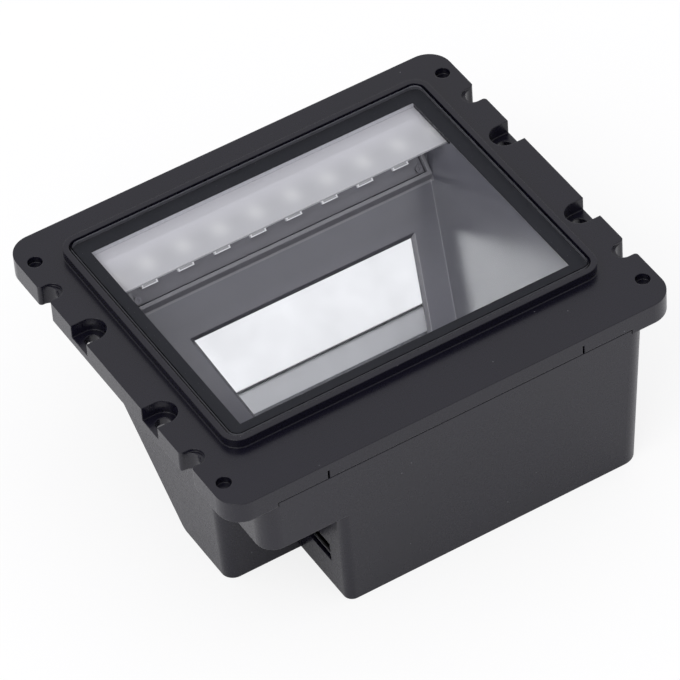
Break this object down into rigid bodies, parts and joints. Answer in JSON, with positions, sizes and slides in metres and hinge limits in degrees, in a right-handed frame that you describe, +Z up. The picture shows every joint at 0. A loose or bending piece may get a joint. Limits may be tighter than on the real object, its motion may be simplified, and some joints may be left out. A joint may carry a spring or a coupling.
{
  "type": "fixed barcode reader",
  "caption": "Panel-mount fixed barcode reader: black flange with a raised glass window over a fold mirror, light board and camera in a drafted case with a cable notch",
  "frame": {"origin": "on the flat underside of the case, under the middle of the flange", "axes": "+X to the right along the front edge, +Y to the rear, +Z up through the window"},
  "size_m": [0.0786, 0.0674, 0.0342],
  "materials": {
    "cover_plastic": "fine moulded grain, near black",
    "case_plastic": "fine moulded grain, near black",
    "hood_plastic": "satin grey moulding",
    "window_glass": "clear, polished",
    "black_tape": "matt black adhesive film",
    "mirror": "front-silvered glass",
    "diffuser": "translucent white film",
    "light_board": "grey solder mask",
    "light_chip": "white package with a clear window",
    "screw_steel": "plated steel",
    "port_steel": "bright plated sheet",
    "flex_film": "amber film",
    "circuit_board": "green solder mask",
    "chip_black": "moulded package",
    "lens_black": "matt black",
    "lens_glass": "coated lens",
    "socket_plastic": "ivory moulding"
  },
  "bodies": {
    "root": {"top_cover": "cover_plastic", "window_glass": "window_glass", "window_tape": "black_tape", "lower_housing": "case_plastic", "light_hood": "hood_plastic", "fold_mirror": "mirror", "mirror_tape": "black_tape", "diffuser_sheet": "diffuser", "led_board": "light_board", "leds": "light_chip", "led_screws": "screw_steel", "led_flex": "flex_film", "camera_board": "circuit_board", "image_sensor": "chip_black", "lens_holder": "lens_black", "lens_barrel": "lens_black", "lens_elements": "lens_glass", "camera_screws": "screw_steel", "camera_socket": "socket_plastic", "main_board": "circuit_board", "decoder_chip": "chip_black", "memory_chip": "chip_black", "flex_socket": "socket_plastic", "port_shell": "port_steel", "port_tongue": "chip_black", "board_screws": "screw_steel", "cover_screws": "screw_steel"}
  },
  "joints": []
}
